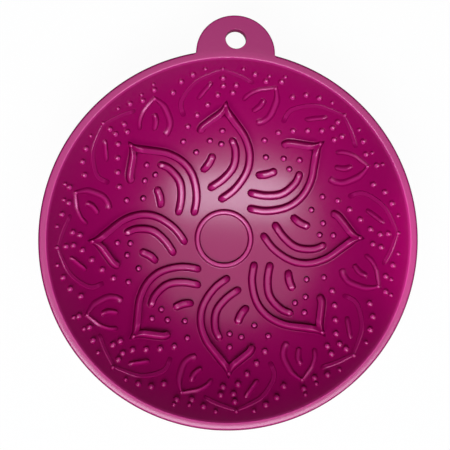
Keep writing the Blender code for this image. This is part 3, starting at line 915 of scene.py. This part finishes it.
# %% Places and sizes of the nubs
NUBS = [(-0.014, 0.659), (-0.089, 0.601), (-0.018, 0.581),
        (-0.172, 0.533), (-0.252, 0.596), (-0.225, 0.683), (-0.170, 0.749), (-0.109, 0.807), (-0.050, 0.861),
        (-0.019, 0.911), (-0.023, 0.951), (0.057, 0.914), (0.040, 0.873),
        (-0.317, 0.870), (-0.270, 0.929), (-0.202, 0.967), (0.163, 0.969), (0.230, 0.931), (0.320, 0.925)]
SMALL_NUBS = [(-0.130, 0.998), (0.094, 0.997), (0.247, 0.957), (0.337, 0.949), (0.289, 0.891),
              (-0.027, 0.999)]
PETAL_TIP_NUBS = [(0.000, 0.808)]
counts = [len(NUBS), len(SMALL_NUBS), len(PETAL_TIP_NUBS)]
radii = np.repeat([1.95 * MM, 1.3 * MM, 1.3 * MM], counts)
heights = np.repeat([1.7 * MM, 1.4 * MM, 2.3 * MM], counts)
print("nubs in a sector", counts)

# %% Domes on the floor
NUB_SIDES = 12
NUB_RINGS = np.array([0.30, 0.52, 0.71, 0.87, 1.0, 1.0])


def dome_field(plan, radii, heights):
    """Points (nub, point, 3) of domes: rings about each middle, then its top and its root.

    The rings are lifted by the half ellipse of the dome section, and the last one is sunk in the floor.
    """
    middle = on_floor(plan)
    up = (FLOOR_CENTRE - middle) / FLOOR_RADIUS
    across = unit(np.cross(up, [0.0, 0.0, 1.0]))
    ahead = np.cross(up, across)
    angle = np.linspace(0, 2 * math.pi, NUB_SIDES, endpoint=False)
    spoke = across[:, None] * np.cos(angle)[:, None] + ahead[:, None] * np.sin(angle)[:, None]
    points = middle[:, None, None] + (radii[:, None] * NUB_RINGS)[:, :, None, None] * spoke[:, None]
    height = (heights[:, None] + SINK) * dome_section(NUB_RINGS) - SINK
    height[:, -1] = -ROOT
    rings = lift(points, np.repeat(height[:, :, None], NUB_SIDES, axis=2))
    top = lift(middle, heights)
    root = lift(middle, np.full(len(middle), -ROOT))
    return np.concatenate([rings.reshape(len(plan), -1, 3), top[:, None], root[:, None]], axis=1)


# %% Painted light and shade of the nubs
# painted light on the nub tops, less of it at the front of the bowl, and painted shade there and on flanks
NUB_TOP_PAINTED_LIGHT = 0.82
NUB_TOP_PAINTED_LIGHT_LESS = 0.30
FRONT_PAINTED_DIMMING = 0.6
FRONT_PAINTED_SHADE = 0.18
RING_LIGHT_GAP = 0.45
TOP_EDGE = 0.76
TOP_EDGE_MORE = 0.11
TOP_EDGE_SOFT = 0.4
NUB_MIDDLE_RADII = (75 * MM, 50 * MM)
NUB_FRONT_REACH = (55 * MM, 85 * MM)
LIGHT_GAP_SHARES = (0.45, 0.10)
NUB_FLANK_SHARES = (0.55, 0.80)


def nub_shade(points):
    """Painted light on dome tops: smaller, brighter and ring-shaped on the steep wall, dimmer at the front.

    Painted shade on the flanks, only on the flatter middle of the floor, and on whole domes at the front.
    """
    dome = np.concatenate([np.repeat(NUB_RINGS, NUB_SIDES), [0.0, 1.0]])
    out = np.tile(dome, len(points) // len(dome))
    middle = ramp(np.hypot(points[:, 0], points[:, 1]), *NUB_MIDDLE_RADII)
    front = ramp(-points[:, 1], *NUB_FRONT_REACH)
    # painted light left out of the middle of each top on the wall, for a ring of painted highlight
    hollow = RING_LIGHT_GAP * (1 - middle) * ramp(out, *LIGHT_GAP_SHARES)
    edge = TOP_EDGE + TOP_EDGE_MORE * middle
    lit = (NUB_TOP_PAINTED_LIGHT - NUB_TOP_PAINTED_LIGHT_LESS * middle) * (1 - FRONT_PAINTED_DIMMING * front)
    lit *= ramp(out, edge, edge - TOP_EDGE_SOFT) * (1 - hollow)
    return lit, np.maximum(middle * ramp(out, *NUB_FLANK_SHARES), FRONT_PAINTED_SHADE * front)


# %% Nub surface
flat = np.pad(lay_out(NUBS + SMALL_NUBS + PETAL_TIP_NUBS), ((0, 0), (0, 1)))
every = np.concatenate([turned(flat, sector)[:, :2] for sector in range(SECTORS)])
domes = dome_field(every, np.tile(radii, SECTORS), np.tile(heights, SECTORS))
starts = np.arange(len(domes))[:, None, None] * domes.shape[1]
groups = [(starts + faces).reshape(-1, faces.shape[1]) for faces in tube_faces(len(NUB_RINGS), NUB_SIDES)]
nubs = add_solid("floor_nubs", domes, *groups)
dress(nubs, relief_rubber, nub_shade)
print("nubs", len(domes), "domes,", len(nubs.data.polygons), "faces")

# %% [markdown]
# ## Floor
# The photo has a plain white ground. More light could make a floor white, but it would also fall on the
# bowl. So the floor is pale and takes the bowl's shadow, and what the camera and the reflections see of
# it is lifted towards white by a Light Path switch.

# %% Floor material
GROUND_WHITE = 0.96
GROUND_MIRRORED = 0.35
WHITE = (1.0, 1.0, 1.0, 1.0)
PALE = (0.90, 0.90, 0.90, 1.0)


def math_node(tree, operation, first, second):
    """Output of a Math node on two values, each a number or another node's output."""
    return add_node(tree, "ShaderNodeMath", "Value", {0: first, 1: second}, operation=operation)


def mirror_ray(tree, path):
    """One for a ray that a shiny or clear surface sent on, else zero."""
    return math_node(tree, "MAXIMUM", path["Is Glossy Ray"], path["Is Transmission Ray"])


def ground_material():
    """Pale ground, nearly white to the camera, partly so in reflections and plain to other light."""
    material = bpy.data.materials.new("studio_ground")
    material.use_nodes = True
    tree = material.node_tree
    path = tree.nodes.new("ShaderNodeLightPath").outputs
    plain = add_node(tree, "ShaderNodeBsdfDiffuse", "BSDF", {"Color": PALE})
    white = add_node(tree, "ShaderNodeEmission", "Emission", {"Color": WHITE})
    mirrored = math_node(tree, "MULTIPLY", mirror_ray(tree, path), GROUND_MIRRORED)
    seen = math_node(tree, "MULTIPLY", path["Is Camera Ray"], GROUND_WHITE)
    share = math_node(tree, "MAXIMUM", seen, mirrored)
    blend = add_node(tree, "ShaderNodeMixShader", "Shader", {0: share, 1: plain, 2: white})
    feed(tree, tree.nodes["Material Output"], {"Surface": blend})
    tree.nodes.remove(tree.nodes["Principled BSDF"])
    return material


# %% Floor
GROUND_HALF = 3.0
GROUND_HEIGHT = -0.1 * MM
corners = GROUND_HALF * np.array([[-1, -1], [1, -1], [1, 1], [-1, 1]])
corners = np.pad(corners, ((0, 0), (0, 1)), constant_values=GROUND_HEIGHT)
ground = add_piece("studio_floor", corners, np.array([[0, 1, 2, 3]]))
ground.data.materials.append(ground_material())
ground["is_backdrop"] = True
print("floor", 2 * GROUND_HALF, "m across")

# %% [markdown]
# ## World
# The walls of the real bowl stay deep and dark, so little light comes from the sides. A picture of a
# studio could surround the scene, but a formula does: a weak white sky overhead that fades out within a
# cone. The camera sees plain white, and so do reflections of what lies beyond the floor's edge.

# %% Sky
SKY_MIDDLE = (0.01, -0.085, 0.996)
SKY_FADE = {"From Min": 0.65, "From Max": 0.79, "To Min": 0.0, "To Max": 0.25}
HORIZON = 0.02


def studio_world():
    """Sky by the cosine of the angle from its middle, with white for camera rays and low mirrored rays."""
    world = bpy.data.worlds.new("studio")
    bpy.context.scene.world = world
    world.use_nodes = True
    tree = world.node_tree
    path = tree.nodes.new("ShaderNodeLightPath").outputs
    place = tree.nodes.new("ShaderNodeTexCoord").outputs["Generated"]
    cosine = {0: place, 1: SKY_MIDDLE}
    cosine = add_node(tree, "ShaderNodeVectorMath", "Value", cosine, operation="DOT_PRODUCT")
    sky = {"Value": cosine, **SKY_FADE}
    sky = add_node(tree, "ShaderNodeMapRange", "Result", sky, interpolation_type="SMOOTHSTEP")
    height = add_node(tree, "ShaderNodeSeparateXYZ", "Z", {"Vector": place})
    low = math_node(tree, "LESS_THAN", height, HORIZON)
    beyond = math_node(tree, "MULTIPLY", low, mirror_ray(tree, path))
    seen = math_node(tree, "MAXIMUM", path["Is Camera Ray"], beyond)
    level = add_node(tree, "ShaderNodeMix", "Result", {"Factor": seen, "A": sky, "B": 1.0})
    feed(tree, tree.nodes["Background"], {"Color": WHITE, "Strength": level})


studio_world()
print("sky level", SKY_FADE["To Max"])

# %% [markdown]
# ## Lamps
# In the photo a broad haze lies on the floor of the bowl behind the ring, and the colour is richest in
# front of it. One lamp could be tried, but its shine and its plain light can't be set apart, so each
# lamp here has a job. The key does both, the overhead scrim shows only in reflections and the front
# fill only in plain light. A small spot lifts the right wall.


# %% Soft lamps
def placed(axes, place):
    """Matrix of an object from its three axes, as columns, and its place."""
    matrix = np.eye(4)
    matrix[:3, :3] = axes
    matrix[:3, 3] = place
    return Matrix(matrix)


def softbox(name, direction, distance, size, radiance, colour=(1.0, 1.0, 1.0), shape="RECTANGLE"):
    """Flat soft lamp that looks at the bowl from a direction; its power is radiance times pi times area."""
    lamp = bpy.data.lights.new(name, "AREA")
    lamp.shape = shape
    lamp.size, lamp.size_y = size
    lamp.energy = radiance * math.pi * size[0] * size[1] * (math.pi / 4 if shape == "ELLIPSE" else 1)
    lamp.color = colour
    toward = unit(np.array(direction))
    side = unit(np.cross([0.0, 1.0, 0.0], toward))
    axes = np.stack([side, np.cross(toward, side), toward], axis=-1)
    thing = bpy.data.objects.new(name, lamp)
    bpy.context.scene.collection.objects.link(thing)
    thing.matrix_world = placed(axes, toward * distance + np.array([0, 0, TOP / 2]))
    print(name, "power in W", round(lamp.energy, 1))
    return thing


softbox("key_softbox", direction=(-0.005, -0.425, 1.0), distance=2.5, size=(2.6, 0.90), radiance=6.2,
        colour=(0.85, 0.90, 1.0))
scrim = softbox("overhead_scrim", direction=(0.01, -0.05, 0.999), distance=2.5, size=(4.7, 4.7),
                radiance=0.82, shape="ELLIPSE")
scrim.visible_diffuse = False
fill = softbox("front_fill", direction=(-0.20, -0.44, 0.87), distance=2.0, size=(1.2, 1.2), radiance=3.9)
fill.visible_glossy = False

# %% Spot on the right wall
SPOT_BLEND = 0.2
SPOT_SIZE = 20 * MM


def small_spot(name, place, target, radius, level):
    """Spot lamp with a beam of the given radius at its target.

    Its power is 4 pi^2 times the distance squared times the level, which is how bright it makes white there.
    """
    lamp = bpy.data.lights.new(name, "SPOT")
    reach = np.array(target) - np.array(place)
    distance = np.linalg.norm(reach)
    lamp.energy = level * 4 * math.pi ** 2 * distance ** 2
    lamp.spot_size = 2 * math.atan(radius / distance)
    lamp.spot_blend = SPOT_BLEND
    lamp.shadow_soft_size = SPOT_SIZE
    thing = bpy.data.objects.new(name, lamp)
    bpy.context.scene.collection.objects.link(thing)
    thing.location = place
    thing.rotation_euler = Vector(reach).to_track_quat("-Z", "Y").to_euler()
    thing.visible_glossy = False
    print(name, "power in W", round(lamp.energy, 1))


small_spot("right_wall_spot", place=(-0.62, -0.02, 0.50), target=(0.107, -0.006, 0.112), radius=66 * MM,
           level=0.70)

# %% [markdown]
# ## Camera
# The photo looks almost straight down from a good half metre, a little to the left of the bowl's axis.
# A camera could be set by eye, but the eight equal sectors give the angle and the distance: they look
# equal again only from there. The lens follows from the rim's width in the photo.

# %% Camera
FRAME_PIXELS = 450
SENSOR_WIDTH = 36.0
RIM_PIXELS = 381.7
VIEW_SCALE = 2 * RIM_RADIUS / RIM_PIXELS
VIEW_DISTANCE = 620.0 * MM
VIEW_LEFT = 0.0745
VIEW_LOW = -0.0100
VIEW_OFFSET = (-3.04 * MM, 8.62 * MM)
VIEW_ROLL = math.radians(1.64)

level = math.cos(VIEW_LOW)
back = np.array([-math.sin(VIEW_LEFT) * level, -math.sin(VIEW_LOW), math.cos(VIEW_LEFT) * level])
right = np.array([math.cos(VIEW_LEFT), 0.0, math.sin(VIEW_LEFT)])
axes = spin(VIEW_ROLL) @ np.stack([right, np.cross(back, right), back], axis=-1)
lens = bpy.data.cameras.new("photo_camera")
lens.sensor_width = SENSOR_WIDTH
lens.lens = SENSOR_WIDTH * VIEW_DISTANCE / VIEW_SCALE / FRAME_PIXELS
lens.clip_start = 10 * MM
camera = bpy.data.objects.new("photo_camera", lens)
bpy.context.scene.collection.objects.link(camera)
camera.matrix_world = placed(axes, axes @ np.array([*VIEW_OFFSET, VIEW_DISTANCE]) + np.array([0, 0, TOP]))
bpy.context.scene.camera = camera
bpy.context.scene.view_settings.view_transform = "Standard"
print("lens in mm", round(lens.lens, 1))
